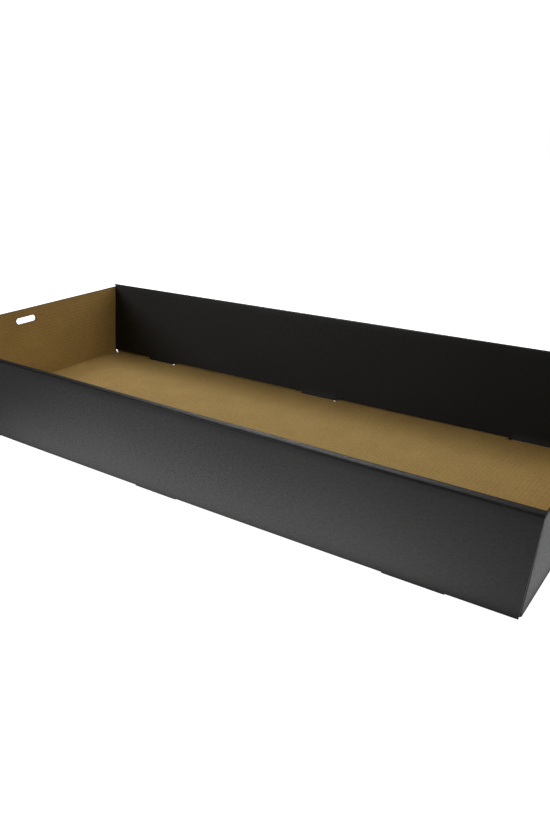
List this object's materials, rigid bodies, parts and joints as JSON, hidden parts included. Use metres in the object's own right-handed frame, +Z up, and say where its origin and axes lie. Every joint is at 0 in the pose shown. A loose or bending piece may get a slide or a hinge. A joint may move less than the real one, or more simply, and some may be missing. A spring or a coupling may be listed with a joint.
{
  "type": "folded cardboard tray box",
  "caption": "Shallow open tray folded from one sheet of corrugated board, with leaning walls, rolled-over long sides locked by tabs in the base, and a grip slot in each end.",
  "frame": {"origin": "middle of the underside of the base, on the surface that the tray stands on", "axes": "+X along the tray's length, +Y across it to the other long wall, +Z up out of the open top"},
  "size_m": [0.5604, 0.2546, 0.0754],
  "materials": {
    "printed_board": "matt black outer liner, plain brown kraft inner liner"
  },
  "bodies": {
    "root": {"tray": "printed_board"}
  },
  "joints": []
}
